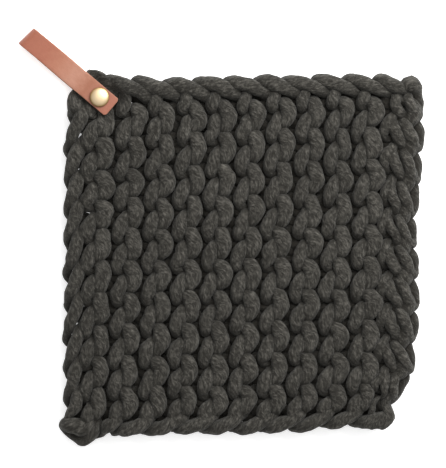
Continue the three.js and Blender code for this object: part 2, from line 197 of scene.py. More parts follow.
# At the top edge, from the row that makes a ridge's heads to the row of its sinkers:
# over the edge from behind, down the face as one strand of the rope, and back inside.
TOP_TURN = [
    (-12.0, 9.5, -4.3, 3.8),
    (-13.6, 14.0, -3.6, 3.9),
    (-14.6, 17.6, -1.4, 3.8),
    (-12.6, 19.2, 1.6, 3.9),
    (-8.0, 18.8, 3.6, 4.2),
    (-2.0, 17.0, 4.4, 4.3),
    (4.0, 14.2, 4.0, 4.2),
    (8.4, 11.6, 2.2, 3.6),
    (9.6, 9.6, -0.8, 3.0),
    (5.0, 11.2, -2.6, 3.3),
    (-1.2, 12.8, -3.6, 3.6),
    (-5.0, 12.6, -1.4, 3.3),
    (-3.6, 12.6, 1.8, 3.2),
    (-3.4, 10.2, 3.6, 3.6),
    (-4.0, 7.2, 4.2, 3.8),
]
# The first of them comes round the corner from the cast-on edge.
FIRST_TOP_TURN = [
    (-13.0, 3.8, -1.4, 3.4),
    (-12.6, 6.6, 2.4, 4.0),
    (-12.4, 10.6, 3.9, 4.5),
    (-12.2, 15.8, 4.0, 4.5),
    (-9.2, 21.0, 3.8, 4.4),
    (-3.6, 21.0, 4.2, 4.4),
    (2.6, 18.4, 4.0, 4.2),
    (7.4, 14.4, 2.2, 3.6),
    (9.2, 10.6, -0.8, 3.0),
    (5.0, 11.2, -2.6, 3.4),
    (-1.2, 12.6, -3.6, 3.9),
    (-6.8, 11.8, -2.8, 4.0),
    (-6.0, 11.2, 0.8, 3.4),
    (-4.2, 9.8, 3.4, 3.6),
    (-4.2, 7.2, 4.2, 3.8),
]
# The last of them is short, and its end goes in under the knot of the yarn's last end.
LAST_TOP_TURN = TOP_TURN[:4] + [
    (-9.6, 18.2, 3.8, 4.1),
    (-5.4, 16.6, 4.5, 4.2),
    (-1.8, 14.8, 4.0, 4.0),
    (0.2, 12.2, 1.2, 3.2),
    (-2.4, 11.8, -2.2, 3.2),
    (-6.8, 12.4, -2.0, 3.0),
    (-7.6, 10.4, -0.6, 3.0),
]
# At the bottom edge, from a ridge's sinkers to the next row's heads.
BOTTOM_TURN = [
    (-4.2, -12.6, 3.4, 3.4),
    (-4.4, -14.8, 1.2, 3.0),
    (-4.6, -16.2, -1.6, 3.0),
    (-3.6, -16.8, -2.6, 3.4),
    (-0.8, -16.9, 0.2, 3.7),
    (2.6, -16.8, 2.8, 4.0),
    (7.0, -15.6, 4.1, 4.2),
    (12.0, -13.2, 4.3, 4.2),
    (16.4, -10.4, 3.2, 3.8),
    (18.6, -8.2, 0.4, 2.8),
    (16.4, -7.4, -2.2, 2.7),
    (12.0, -9.8, -3.9, 3.7),
    (7.4, -12.8, -4.3, 3.9),
]
# The first of them goes in behind the knot of the yarn's first end.
FIRST_BOTTOM_TURN = [
    (-4.0, -9.6, 3.0, 3.4),
    (-4.2, -11.8, 0.0, 2.8),
    (-3.0, -13.6, -3.0, 3.2),
    (1.5, -15.4, -4.2, 3.6),
    (5.2, -16.4, -2.2, 3.2),
    (7.0, -15.8, 1.2, 3.4),
    (9.5, -14.4, 3.8, 4.0),
    (12.6, -12.8, 4.3, 4.2),
] + BOTTOM_TURN[8:]
# The last of them is wide and fills the corner.
LAST_BOTTOM_TURN = BOTTOM_TURN[:5] + [
    (3.4, -17.4, 2.6, 4.0),
    (9.8, -17.0, 4.1, 5.0),
    (16.0, -16.6, 4.3, 5.1),
    (22.2, -14.4, 4.0, 4.85),
    (23.2, -9.2, 1.6, 4.2),
    (19.6, -6.2, -1.0, 4.1),
    (15.2, -8.0, -2.4, 4.6),
    (9.6, -12.2, -4.0, 4.4),
]
# One cast-on strand up the left edge, then a head of the first ridge, then the way
# behind to the next strand.
CAST_ON = [
    (-15.1, -15.8, -0.5, 2.5),
    (-13.9, -12.2, 2.0, 3.0),
    (-12.6, -8.3, 3.6, 3.45),
    (-11.0, -3.5, 4.2, 3.75),
    (-9.5, 1.6, 4.1, 3.7),
    (-8.2, 5.7, 2.7, 3.2),
    (-6.0, 8.2, 0.0, 2.5),
    (-2.6, 7.0, -0.2, 2.5),
    (0.8, 5.9, 2.4, 3.4),
    (3.1, 4.2, 4.2, 4.2),
    (4.1, 0.4, 4.7, 4.45),
    (3.9, -3.2, 4.7, 4.4),
    (2.7, -6.4, 4.0, 4.1),
    (0.4, -7.6, 1.8, 3.1),
    (-3.6, -5.2, -2.5, 4.2),
    (-8.0, -4.0, -3.9, 5.15),
    (-11.6, -1.8, -4.2, 4.7),
    (-14.6, 0.2, -3.2, 3.3),
]
LAST_CAST_ON = CAST_ON[:14] + [
    (-3.6, -3.2, -2.6, 4.5),
    (-8.0, -1.8, -4.0, 5.3),
    (-11.6, 0.2, -4.2, 4.7),
    (-13.8, 2.0, -3.2, 3.4),
]
# One link of the bound-off chain up the right edge: the left arm, over the top behind
# the next link, then the right arm, which lies on the rim.
BOUND_OFF = [
    (1.6, -5.2, -1.6, 2.5),
    (0.8, -2.4, 1.4, 2.6),
    (-0.6, 1.4, 4.2, 2.75),
    (-2.5, 5.4, 4.8, 2.8),
    (-4.2, 9.2, 4.3, 2.8),
    (-4.4, 11.9, 1.6, 2.7),
    (-2.4, 13.2, -1.8, 2.5),
    (0.8, 12.9, 0.4, 2.6),
    (1.5, 11.0, 3.4, 2.8),
    (3.2, 6.8, 4.6, 2.9),
    (5.2, 2.4, 4.2, 2.9),
    (6.8, -1.4, 1.6, 2.8),
    (8.4, -3.2, -1.6, 3.0),
    (8.7, 0.6, -3.6, 3.5),
    (8.3, 6.8, -2.8, 3.6),
    (5.6, 11.6, -3.0, 3.1),
]
# The yarn's first end, tucked in at the lower left corner, and its last, upper right.
FIRST_END = [
    (2.5, -7.6, -2.5, 2.4),
    (2.0, -11.4, 0.5, 3.0),
    (1.6, -14.4, 2.8, 3.5),
    (-0.8, -16.8, 2.6, 3.3),
    (-4.0, -17.7, 1.6, 2.9),
    (-7.3, -16.9, -0.8, 2.9),
    (-10.6, -15.4, -2.6, 3.2),
    (-14.0, -13.8, -1.6, 3.4),
    (-14.2, -12.0, 1.6, 3.6),
    (-11.9, -12.1, 3.8, 3.6),
    (-8.2, -12.7, 4.2, 3.2),
    (-4.4, -13.3, 4.2, 3.1),
    (-1.3, -12.8, 3.5, 3.0),
    (0.2, -11.0, 0.8, 2.6),
    (-2.5, -9.7, -2.8, 3.3),
    (-6.9, -9.0, -4.2, 4.0),
    (-10.6, -10.1, -4.0, 3.8),
    (-13.4, -10.4, -1.8, 2.8),
    (-13.5, -8.2, 1.4, 2.8),
    (-12.5, -5.4, 3.5, 3.1),
]
LAST_END = [
    (1.6, -5.2, -1.6, 2.5),
    (0.6, -3.0, 1.4, 2.6),
    (-1.0, -0.4, 4.2, 2.8),
    (-2.6, 3.8, 4.7, 2.9),
    (-2.8, 8.0, 4.0, 2.9),
    (-1.6, 10.8, 1.2, 2.7),
    (1.4, 11.4, -1.2, 2.5),
    (3.0, 9.8, 2.2, 2.7),
    (3.4, 6.2, 4.4, 2.9),
    (4.4, 1.8, 4.2, 2.9),
    (6.0, -1.8, 1.6, 2.8),
    (7.8, -3.2, -1.6, 3.0),
    (8.0, 1.0, -3.4, 3.4),
    (8.0, 6.2, -2.0, 3.6),
    (7.8, 11.2, 0.0, 3.7),
    (6.4, 15.0, 1.8, 4.6),
    (4.4, 16.4, 2.8, 5.0),
    (2.4, 15.4, 2.5, 4.6),
    (1.8, 12.8, -0.6, 3.2),
    (2.4, 10.6, -2.6, 2.4),
]
LAST_ROW_SHIFT = -3.6        # the last row lies close against the chain,
LAST_ROW_SQUEEZE = 0.45      # its heads are cramped behind it,
LAST_ROW_THIN = 0.72         # and its strands on the face are thinner
FLATTENED = 0.2              # share of its height that yarn keeps under the chain
HEAD_FROM = 9                # heads start this far across from their own row
ROWS_A_PIECE = 5
KNOTS_BEFORE = 4             # a piece of rows starts this many knots before its first row

SIDES = 20                   # of the yarn's section
STEP = 1.1                   # from one ring of the yarn to the next
PLIES = 5
TWIST = 2 * math.pi / 42     # the fibres go once round the yarn in 42 mm

# Hand-knitted unevenness: each knot by itself, and a drift that knots pass on.
KNOT_SHIFT = 0.32            # off its place
KNOT_SWELL = 0.028           # off its radius, as a share of it
DRIFT, DRIFT_KEPT = 0.2, 0.8
DRIFT_SWELL = 0.05           # share of the radius for each unit of drift
FULLNESS = 1.01              # every radius against what its knot says


def placed(knots, a, b, face=1):
    """The knots moved to (a, b), and turned to the back where face is -1."""
    return [(a + across, b + along, face * out, radius) for across, along, out, radius in knots]


def cramped(start, a, b, z, radius):
    """A knot of the last row, in its place against the bound-off chain."""
    squeeze = LAST_ROW_SQUEEZE if a > start else 1
    flat = FLATTENED if z > 0 and b > TOP - 1 else 1
    thin = LAST_ROW_THIN if z > 0 else 1
    return start + LAST_ROW_SHIFT + (a - start) * squeeze, b, z * flat, radius * thin


def row_course(row):
    """Knots of one row from its lowest stitch to its highest."""
    start = row * HALF
    knots = []
    for stitch in range(HEADS):
        knots += placed(STITCH, start, stitch * STITCH_PITCH, 1 if row % 2 == 0 else -1)
    if row == LAST_ROW - 1:
        knots = [(a, b, z * (FLATTENED if a > start + HEAD_FROM else 1), radius)
                 for a, b, z, radius in knots]
    if row == LAST_ROW:
        knots = [cramped(start, *knot) for knot in knots]
    return knots


def whole_yarn():
    """The knots of the whole yarn, and the knot at which each piece of it starts: it goes
    up the cast-on edge, down and up the rows in turn, and up the bound-off edge."""
    knots = placed(FIRST_END, 0, 0)
    for stitch in range(HEADS):
        strand = {0: CAST_ON[3:], HEADS - 1: LAST_CAST_ON}.get(stitch, CAST_ON)
        knots += placed(strand, 0, stitch * STITCH_PITCH)
    knots += placed(FIRST_TOP_TURN, 0, TOP)
    starts = [("cast_on_edge", 0)]
    for row in range(LAST_ROW + 1):
        if row % ROWS_A_PIECE == 0:
            starts.append(("knit_rows_%d" % len(starts), len(knots) - KNOTS_BEFORE))
        a = (row // 2) * RIDGE_PITCH
        if row == LAST_ROW:
            knots += row_course(row)[:0:-1] + placed(BOTTOM_TURN[:3], a + LAST_ROW_SHIFT, 0)
        elif row % 2 == 0:
            turns = {0: FIRST_BOTTOM_TURN, LAST_ROW - 2: LAST_BOTTOM_TURN}
            knots += row_course(row)[:0:-1] + placed(turns.get(row, BOTTOM_TURN), a, 0)
        else:
            turn = TOP_TURN if row < LAST_ROW - 1 else LAST_TOP_TURN
            knots += row_course(row) + placed(turn, a + RIDGE_PITCH, TOP)
    starts.append(("bound_off_edge", len(knots) - 1))
    for stitch in range(HEADS - 1):
        knots += placed(BOUND_OFF, RIDGES * RIDGE_PITCH, stitch * STITCH_PITCH)
    knots += placed(LAST_END, RIDGES * RIDGE_PITCH, TOP)
    return knots, starts


def uneven(knots, rng):
    """Each knot a little off its place and thickness, and each stretch of about a stitch
    tighter or looser than the next."""
    moved = []
    drift = [0, 0, 0]
    for a, b, z, radius in knots:
        drift = [value * DRIFT_KEPT + rng.gauss(0, DRIFT) for value in drift]
        moved.append((a + drift[0] + rng.gauss(0, KNOT_SHIFT),
                      b + drift[1] + rng.gauss(0, KNOT_SHIFT),
                      z + rng.gauss(0, KNOT_SHIFT * 0.5),
                      radius * (FULLNESS + DRIFT_SWELL * drift[2] + rng.gauss(0, KNOT_SWELL))))
    return moved


def spline(knots, steps=8):
    """A smooth line through the knots, whose columns may hold more than places."""
    p = np.array(knots, float)
    p = np.vstack([2 * p[0] - p[1], p, 2 * p[-1] - p[-2]])
    t = np.linspace(0, 1, steps, endpoint=False)[None, :, None]
    p0, p1, p2, p3 = (p[k:len(p) - 3 + k, None, :] for k in range(4))
    line = 0.5 * (2 * p1 + (p2 - p0) * t + (2 * p0 - 5 * p1 + 4 * p2 - p3) * t ** 2
                  + (3 * p1 - p0 - 3 * p2 + p3) * t ** 3)
    return np.vstack([line.reshape(-1, p.shape[1]), p[-2:-1]])


def even_steps(line, step):
    """The line cut into equal steps, and how far along it each of them is."""
    lengths = np.linalg.norm(np.diff(line[:, :3], axis=0), axis=1)
    along = np.concatenate([[0], np.cumsum(lengths)])
    places = np.linspace(0, along[-1], int(along[-1] / step))
    columns = [np.interp(places, along, line[:, k]) for k in range(line.shape[1])]
    return np.stack(columns, 1), places


def yarn_rings(line, places):
    """Rings of points round the line, and the fibre coordinate of each point."""
    centre, radius = line[:, :3], line[:, 3]
    tangent = np.gradient(centre, axis=0)
    tangent /= np.linalg.norm(tangent, axis=1)[:, None]
    normal = np.array([0.3, 0.1, 1.0])      # any start that isn't along the yarn
    normals = []
    for direction in tangent:
        normal = normal - direction * np.dot(normal, direction)
        normal = normal / np.linalg.norm(normal)
        normals.append(normal)
    normals = np.array(normals)
    binormals = np.cross(tangent, normals)
    angle = np.linspace(0, 2 * math.pi, SIDES, endpoint=False)[None, :]
    fibre = angle + (places * TWIST)[:, None]
    s = places[:, None]
    # The plies show as flat lobes, and slow waves make the yarn lumpy along its length.
    lumpy = (1 + 0.036 * np.cos(PLIES * fibre + 0.5 * np.sin(s * 0.11))
             + 0.014 * np.sin(s * 0.53) + 0.016 * np.sin(2 * fibre + s * 0.31)
             + 0.014 * np.sin(2 * fibre - s * 0.83) + 0.012 * np.sin(fibre + s * 1.27))
    grown = radius[:, None] * lumpy
    ring = (np.cos(angle) * grown)[..., None] * normals[:, None, :]
    ring = ring + (np.sin(angle) * grown)[..., None] * binormals[:, None, :]
    grain = np.stack([np.cos(fibre) * radius[:, None], np.sin(fibre) * radius[:, None],
                      np.broadcast_to(s, fibre.shape)], -1)
    return centre[:, None, :] + ring, grain


def settle_points(points):
    """Points of the laid-out yarn in their place: the knit lies flat on the table, is
    clasped between the legs of the strap and makes way for the rivet's post."""
    x, y = settle(points[..., 0], points[..., 1])
    from_x, from_y = x + SHIFT_X - RIVET_X, y + SHIFT_Y - RIVET_Y
    out = points[..., 2]
    past = np.tanh((abs(out) - FLAT_FROM) / (FLAT_TO - FLAT_FROM))
    pressed = np.sign(out) * (FLAT_FROM + (FLAT_TO - FLAT_FROM) * past)
    z = MIDDLE + np.where(abs(out) > FLAT_FROM, pressed, out)
    along = from_x * math.cos(STRAP_ANGLE) + from_y * math.sin(STRAP_ANGLE)
    across = abs(from_y * math.cos(STRAP_ANGLE) - from_x * math.sin(STRAP_ANGLE))
    beside = np.maximum(across - STRAP_WIDTH / 2, 0)
    beyond = np.maximum(-STRAP_TAIL - along, 0)
    clasp = fade(np.hypot(beside, beyond) - CLASP_FULL, CLASP_REACH)
    base = np.interp(along, *zip(*LOW_LEG)) + LEATHER / 2 + CLASP_GAP
    ceiling = np.interp(along, *zip(*TOP_LEG)) - LEATHER / 2 - CLASP_GAP
    low = clasp * base
    high = 2 * MIDDLE - clasp * (2 * MIDDLE - ceiling)
    z = low + z / (2 * MIDDLE) * (high - low)
    # Points in the post's way are pushed out of it. A few faces between them still cross it.
    off_post = np.maximum(np.hypot(from_x, from_y), 0.01)
    push = np.where(off_post < POST_ROOM, (POST_ROOM + 0.1 * off_post) / off_post, 1)
    return np.stack([RIVET_X + from_x * push, RIVET_Y + from_y * push, z], -1)


# Hollows, and the painted shade in them, are found on a plan grid of these cells, with room round
# the knit.
CELL, GRID_ROOM = 0.9, 8
FULL_DEPTH = 2.7             # a hollow this deep gets the darkest painted shade
RIM_CELLS, SURFACE_CELLS = 4, 3      # over how many cells the outline and the face are smoothed
COVERED = (0.44, 0.76)       # share of a cell's neighbours with yarn, at the rim and inside
CLASPED = (6, 22)            # from the rivet, where clasped yarn is low but is no hollow, so it gets less painted shade
CLASPED_SHARE = 0.75


def spread(grid, cells):
    """Each cell averaged with its neighbours along both axes."""
    for axis in (0, 1):
        rolled = [np.roll(grid, shift, axis) for shift in range(-cells, cells + 1)]
        grid = sum(rolled) / len(rolled)
    return grid


def hollow_shade(points):
    """How much painted shade each point of the yarn gets, 0 to 1, by how deep it lies in the
    hollows between the stitches.
    """
    low = points.reshape(-1, 3)[:, :2].min(0) - GRID_ROOM
    index = ((points[..., :2] - low) / CELL).astype(int)
    size = index.reshape(-1, 2).max(0) + int(GRID_ROOM / CELL) + 1
    cell = index[..., 0], index[..., 1]
    covered = np.zeros(size)
    covered[cell] = 1
    inside = rise(spread(covered, RIM_CELLS)[cell], *COVERED)
    deep = np.zeros(points.shape[:-1])
    for side in (1, -1):
        height = side * (points[..., 2] - MIDDLE)
        relief = np.full(size, -MIDDLE)
        np.maximum.at(relief, cell, height)
        for axis in (0, 1):
            beside = np.maximum(np.roll(relief, 1, axis), np.roll(relief, -1, axis))
            relief = np.maximum(relief, beside)
        below = spread(relief, SURFACE_CELLS)[cell] - height
        deep = np.where(height > 0, np.maximum(deep, below), deep)
    from_rivet = np.hypot(points[..., 0] - RIVET_X, points[..., 1] - RIVET_Y)
    clasped = 1 - rise(from_rivet, *CLASPED)
    return np.clip((deep + 0.1) / FULL_DEPTH, 0, 1) * inside * (1 - CLASPED_SHARE * clasped)


def knit_piece(name, rings, grain, deep):
    """One closed mesh of yarn from its rings, with its fibres and the painted shade of its hollows
    as attributes.
    """
    count = len(rings)
    ring = np.arange(count - 1)[:, None] * SIDES
    side = np.arange(SIDES)[None, :]
    following = (side + 1) % SIDES
    quads = np.stack([ring + side, ring + following,
                      ring + SIDES + following, ring + SIDES + side], -1)
    first = list(range(SIDES))
    last = list(range((count - 1) * SIDES, count * SIDES))
    faces = quads.reshape(-1, 4).tolist() + [first[::-1], last]
    mesh = bpy.data.meshes.new(name)
    mesh.from_pydata((rings.reshape(-1, 3) * MM).tolist(), [], faces)
    attribute = mesh.attributes.new("yarn", "FLOAT_VECTOR", "POINT")
    attribute.data.foreach_set("vector", (grain.reshape(-1, 3) * MM).ravel())
    # The painted shade of the hollows between the stitches.
    attribute = mesh.attributes.new("hollow", "FLOAT", "POINT")
    attribute.data.foreach_set("value", deep.ravel())
    mesh.shade_smooth()
    ends = set(first) | set(last)
    for edge in mesh.edges:
        edge.use_edge_sharp = edge.vertices[0] in ends and edge.vertices[1] in ends
    piece = bpy.data.objects.new(name, mesh)
    bpy.context.scene.collection.objects.link(piece)
    return piece


def knit():
    """The whole yarn, laid, settled and cut into its pieces."""
    knots, starts = whole_yarn()
    loose = uneven(knots, random.Random(11))
    numbered = [knot + (float(index),) for index, knot in enumerate(loose)]
    line, places = even_steps(spline(numbered), STEP)
    rings, grain = yarn_rings(line, places)
    rings = settle_points(rings)
    # Painted shade for the hollows between the stitches.
    deep = hollow_shade(rings)
    names = [name for name, knot in starts]
    cuts = [int(np.searchsorted(line[:, 4], knot)) for name, knot in starts] + [len(line) - 1]
    return [knit_piece(name, rings[first:last + 1], grain[first:last + 1], deep[first:last + 1])
            for name, first, last in zip(names, cuts, cuts[1:])]


# ------------------------------------------------------------------------------ finishes
class Reading:
    """A number or colour that varies over a surface: a node socket to reckon with."""

    def __init__(self, finish, socket):
        self.finish = finish
        self.socket = socket

    def maths(self, operation, other):
        return self.finish.node("ShaderNodeMath", {"operation": operation},
                                {"Value": self, "Value_001": other})

    def __add__(self, other):
        return self.maths("ADD", other)

    def __sub__(self, other):
        return self.maths("SUBTRACT", other)

    def __mul__(self, other):
        return self.maths("MULTIPLY", other)

    def __rsub__(self, other):
        return self.maths("MULTIPLY", -1) + other

    __radd__ = __add__
    __rmul__ = __mul__

    def between(self, low, high):
        """0 below low, 1 above high, and even between them."""
        return self.finish.node("ShaderNodeMapRange", {"clamp": True},
                                {"Value": self, "From Min": low, "From Max": high})


def set_stops(ramp, stops):
    for element, (place, colour) in zip(ramp.elements, (stops[0], stops[-1])):
        element.position, element.color = place, (*colour, 1)
    for place, colour in stops[1:-1]:
        ramp.elements.new(place).color = (*colour, 1)


class Finish:
    """One material, with the constants of its shader set on the shader itself."""

    def __init__(self, name, **constants):
        self.material = bpy.data.materials.new(name)
        self.material.use_nodes = True
        self.tree = self.material.node_tree
        self.shader = self.tree.nodes["Principled BSDF"]
        for key, value in constants.items():
            self.shader.inputs[key.replace("_", " ")].default_value = value

    def node(self, kind, settings, sockets, out=0):
        """A new node, with its settings, what feeds its sockets, and the output to read."""
        made = self.tree.nodes.new(kind)
        for key, value in settings.items():
            if key == "stops":
                set_stops(made.color_ramp, value)
            else:
                setattr(made, key, value)
        by_name = {socket.identifier: socket for socket in made.inputs}
        for key, value in sockets.items():
            socket = by_name[key] if key in by_name else made.inputs[key]
            if isinstance(value, Reading):
                self.tree.links.new(value.socket, socket)
            else:
                socket.default_value = value
        outs = {socket.identifier: socket for socket in made.outputs}
        return Reading(self, outs.get(out) or made.outputs[out])

    def attribute(self, name, out="Vector"):
        return self.node("ShaderNodeAttribute", {"attribute_name": name}, {}, out)

    def place(self):
        return self.node("ShaderNodeTexCoord", {}, {}, "Object")

    def vector(self, operation, vector, other, out=0):
        return self.node("ShaderNodeVectorMath", {"operation": operation},
                         {"Vector": vector, "Vector_001": other}, out)

    def scaled(self, vector, x, y, z):
        return self.vector("MULTIPLY", vector, (x, y, z))

    def noise(self, vector, scale=1, detail=2, roughness=0.5):
        return self.node("ShaderNodeTexNoise", {},
                         {"Vector": vector, "Scale": scale, "Detail": detail,
                          "Roughness": roughness}, "Fac")

    def multiplied(self, colour, other):
        return self.node("ShaderNodeMix", {"data_type": "RGBA", "blend_type": "MULTIPLY"},
                         {"Factor_Float": 1.0, "A_Color": colour, "B_Color": other},
                         "Result_Color")

    def ramp(self, reading, *stops):
        """Colours by the reading, from stops of (place, colour) in order."""
        return self.node("ShaderNodeValToRGB", {"stops": stops}, {"Fac": reading}, "Color")

    def bump(self, height, strength, distance):
        return self.node("ShaderNodeBump", {}, {"Height": height, "Strength": strength,
                                                "Distance": distance}, "Normal")

    def feed(self, **links):
        for key, reading in links.items():
            self.tree.links.new(reading.socket, self.shader.inputs[key.replace("_", " ")])


def yarn_finish():
    """Soft cotton in dark olive charcoal: fine threads along the yarn, mottled and matt, with
    painted shade in the hollows between the stitches.
    """
    finish = Finish("cotton_yarn", Roughness=0.92, Sheen_Weight=0.12, Sheen_Roughness=0.5,
                    Sheen_Tint=(0.8, 0.8, 0.76, 1), Specular_IOR_Level=0.2)
    along = finish.attribute("yarn")
    hollow = finish.attribute("hollow", "Fac")
    threads = finish.noise(finish.scaled(along, 1000, 1000, 560), detail=3, roughness=0.62)
    threads = threads.between(0.3, 0.7)
    hairs = finish.noise(finish.scaled(along, 3200, 3200, 1200), detail=2, roughness=0.6)
    mottle = finish.noise(finish.scaled(along, 600, 600, 520), detail=4, roughness=0.68)
    mottle = mottle.between(0.3, 0.7)
    faded = finish.noise(finish.place(), scale=42, detail=1)
    flecks = finish.noise(finish.scaled(along, 900, 900, 700), detail=1).between(0.69, 0.76)
    shade = threads * 0.34 + hairs * 0.2 + mottle * 0.78 + faded * 0.14 - 0.31
    # Painted shade darkens the yarn in the hollows between the stitches.
    shade = shade - hollow * 0.41 + flecks * 0.12
    colour = finish.ramp(shade, (0, (0.0185, 0.0163, 0.0128)), (0.25, (0.0225, 0.0208, 0.0172)),
                         (0.5, (0.0485, 0.0452, 0.0385)), (1, (0.13, 0.122, 0.106)))
    height = threads * 0.3 + hairs * 0.2 + mottle * 0.5
    finish.feed(Base_Color=colour, Normal=finish.bump(height, 1.0, 0.001))
    return finish.material


def leather_finish():
    """The face: smooth, satin, rosy tan, paler where the loop arches as a painted highlight, with
    fine pores.
    """
    finish = Finish("leather_face", Specular_IOR_Level=0.35, Coat_Roughness=0.35, Coat_Weight=0.06)
    strip = finish.attribute("strip")
    along = finish.node("ShaderNodeSeparateXYZ", {}, {"Vector": strip}, "X")
    cloudy = finish.noise(strip, scale=260, detail=3, roughness=0.6)
    pores = finish.noise(strip, scale=3600, detail=3, roughness=0.62)
    creases = finish.noise(finish.scaled(strip, 420, 1500, 900), detail=2)
    # Along the strip, from the tail to the fold, with a little cloudy mottle: the tan is paler
    # where the loop arches, a painted highlight, and a little darker towards the fold, painted
    # shade.
    arch_light_and_mottle = along.between(0, 0.0625) + (cloudy - 0.5) * 0.22      # from the tail to the fold
    tan = finish.ramp(arch_light_and_mottle, (0, (0.345, 0.13, 0.083)), (0.13, (0.335, 0.13, 0.083)),
                      (0.3, (0.335, 0.14, 0.086)), (0.46, (0.44, 0.215, 0.148)),
                      (0.62, (0.4, 0.168, 0.106)), (0.8, (0.345, 0.121, 0.074)),
                      (1, (0.327, 0.111, 0.067)))
    grain = (pores * 0.6 + creases * 0.4).between(0.3, 0.72)
    tone = finish.ramp(grain, (0, (0.86, 0.84, 0.82)), (1, (1.05, 1.05, 1.05)))
    finish.feed(Base_Color=finish.multiplied(tan, tone),
                Roughness=cloudy * 0.2 + grain * 0.12 + 0.3,
                Normal=finish.bump(grain, 0.35, 0.0002))
    return finish.material


def leather_flesh_finish():
    """The back of the leather: paler and napped."""
    finish = Finish("leather_flesh", Specular_IOR_Level=0.2, Sheen_Weight=0.1)
    nap = finish.noise(finish.place(), scale=1500, detail=4, roughness=0.7)
    patch = finish.noise(finish.place(), scale=210, detail=2)
    colour = finish.ramp(nap * 0.7 + patch * 0.3, (0.3, (0.3, 0.14, 0.082)),
                         (0.7, (0.5, 0.28, 0.18)))
    finish.feed(Base_Color=colour, Roughness=nap * 0.2 + 0.72,
                Normal=finish.bump(nap, 0.6, 0.0004))
    return finish.material


def leather_cut_finish():
    """The cut edges: raw fibre, pale, with darker layers along them."""
    finish = Finish("leather_cut", Specular_IOR_Level=0.25)
    layers = finish.noise(finish.scaled(finish.place(), 700, 700, 3600), detail=3, roughness=0.6)
    colour = finish.ramp(layers, (0.32, (0.27, 0.115, 0.07)), (0.68, (0.5, 0.26, 0.175)))
    finish.feed(Base_Color=colour, Roughness=layers * 0.2 + 0.6,
                Normal=finish.bump(layers, 0.5, 0.0003))
    return finish.material


def brass_finish():
    """Pale satin brass, drawn and lightly brushed, darker towards the rim as painted shade, and a
    little rougher there.
    """
    finish = Finish("brass", Metallic=1)
    near = finish.vector("SUBTRACT", finish.place(), (RIVET_X * MM, RIVET_Y * MM, 0))
    outward = finish.vector("LENGTH", finish.scaled(near, 1, 1, 0), (0, 0, 0), "Value")
    rubbed = finish.noise(near, scale=900, detail=3, roughness=0.6)
    fine = finish.noise(finish.scaled(near, 2600, 5200, 2600), detail=2)
    # Painted shade: the brass colour darkens towards the rim, which is also a little rougher.
    rim = (outward + rubbed * 0.0007).between(0.0043, 0.0056)
    colour = finish.ramp(rim, (0, (0.9, 0.71, 0.455)), (0.55, (0.74, 0.55, 0.3)),
                         (1, (0.42, 0.29, 0.11)))
    finish.feed(Base_Color=colour, Roughness=rubbed * 0.14 + fine * 0.08 + rim * 0.06 + 0.4,
                Normal=finish.bump(rubbed * 0.5 + fine * 0.5, 0.12, 0.0001))
    return finish.material


def paper_finish():
    """The floor: plain white paper."""
    finish = Finish("paper_floor", Specular_IOR_Level=0.1, Emission_Strength=0.5)
    tooth = finish.noise(finish.place(), scale=900, detail=2)
    colour = finish.ramp(tooth, (0.3, (0.95, 0.95, 0.95)), (0.7, (0.98, 0.98, 0.98)))
    finish.feed(Base_Color=colour, Roughness=tooth * 0.1 + 0.85)
    return finish.material


# ----------------------------------------------------------------------------- the strap
STRIP_STEP = 1.2
PUNCH_RADIUS = 1.9
BEVEL = 0.3
TRIM, TRIM_NARROW = 0.55, 0.92       # the corners of the ends are taken off by this
WAVER, WAVER_LENGTH = 0.12, 9


def select_where(piece, test):
    """In edit mode, with only the vertices selected whose place passes the test."""
    if bpy.context.mode != "OBJECT":
        bpy.ops.object.mode_set(mode="OBJECT")
    bpy.ops.object.select_all(action="DESELECT")
    bpy.context.view_layer.objects.active = piece
    piece.select_set(True)
    bpy.ops.object.mode_set(mode="EDIT")
    bpy.ops.mesh.select_mode(type="VERT")
    bpy.ops.mesh.select_all(action="DESELECT")
    bpy.ops.object.mode_set(mode="OBJECT")
    for vertex in piece.data.vertices:
        vertex.select = bool(test(vertex.co))
    bpy.ops.object.mode_set(mode="EDIT")


def apply_modifier(piece, kind, **settings):
    modifier = piece.modifiers.new(kind.lower(), kind)
    for key, value in settings.items():
        setattr(modifier, key, value)
    bpy.ops.object.select_all(action="DESELECT")
    bpy.context.view_layer.objects.active = piece
    piece.select_set(True)
    bpy.ops.object.modifier_apply(modifier=modifier.name)


def strap_line():
    """The strip's middle line from the upper tail, round the fold, to the lower tail, and
    how far along the strip each of its points is."""
    round_the_fold = []
    for step in range(1, 10):
        angle = math.pi * (0.5 - step / 10)
        round_the_fold.append((FOLD_ALONG + FOLD_RADIUS * math.cos(angle),
                               FOLD_Z + FOLD_RADIUS * math.sin(angle)))
    route = TOP_LEG + round_the_fold + LOW_LEG[::-1]
    line, places = even_steps(spline([(along, 0, z) for along, z in route]), STRIP_STEP)
    return line[:, [0, 2]], places


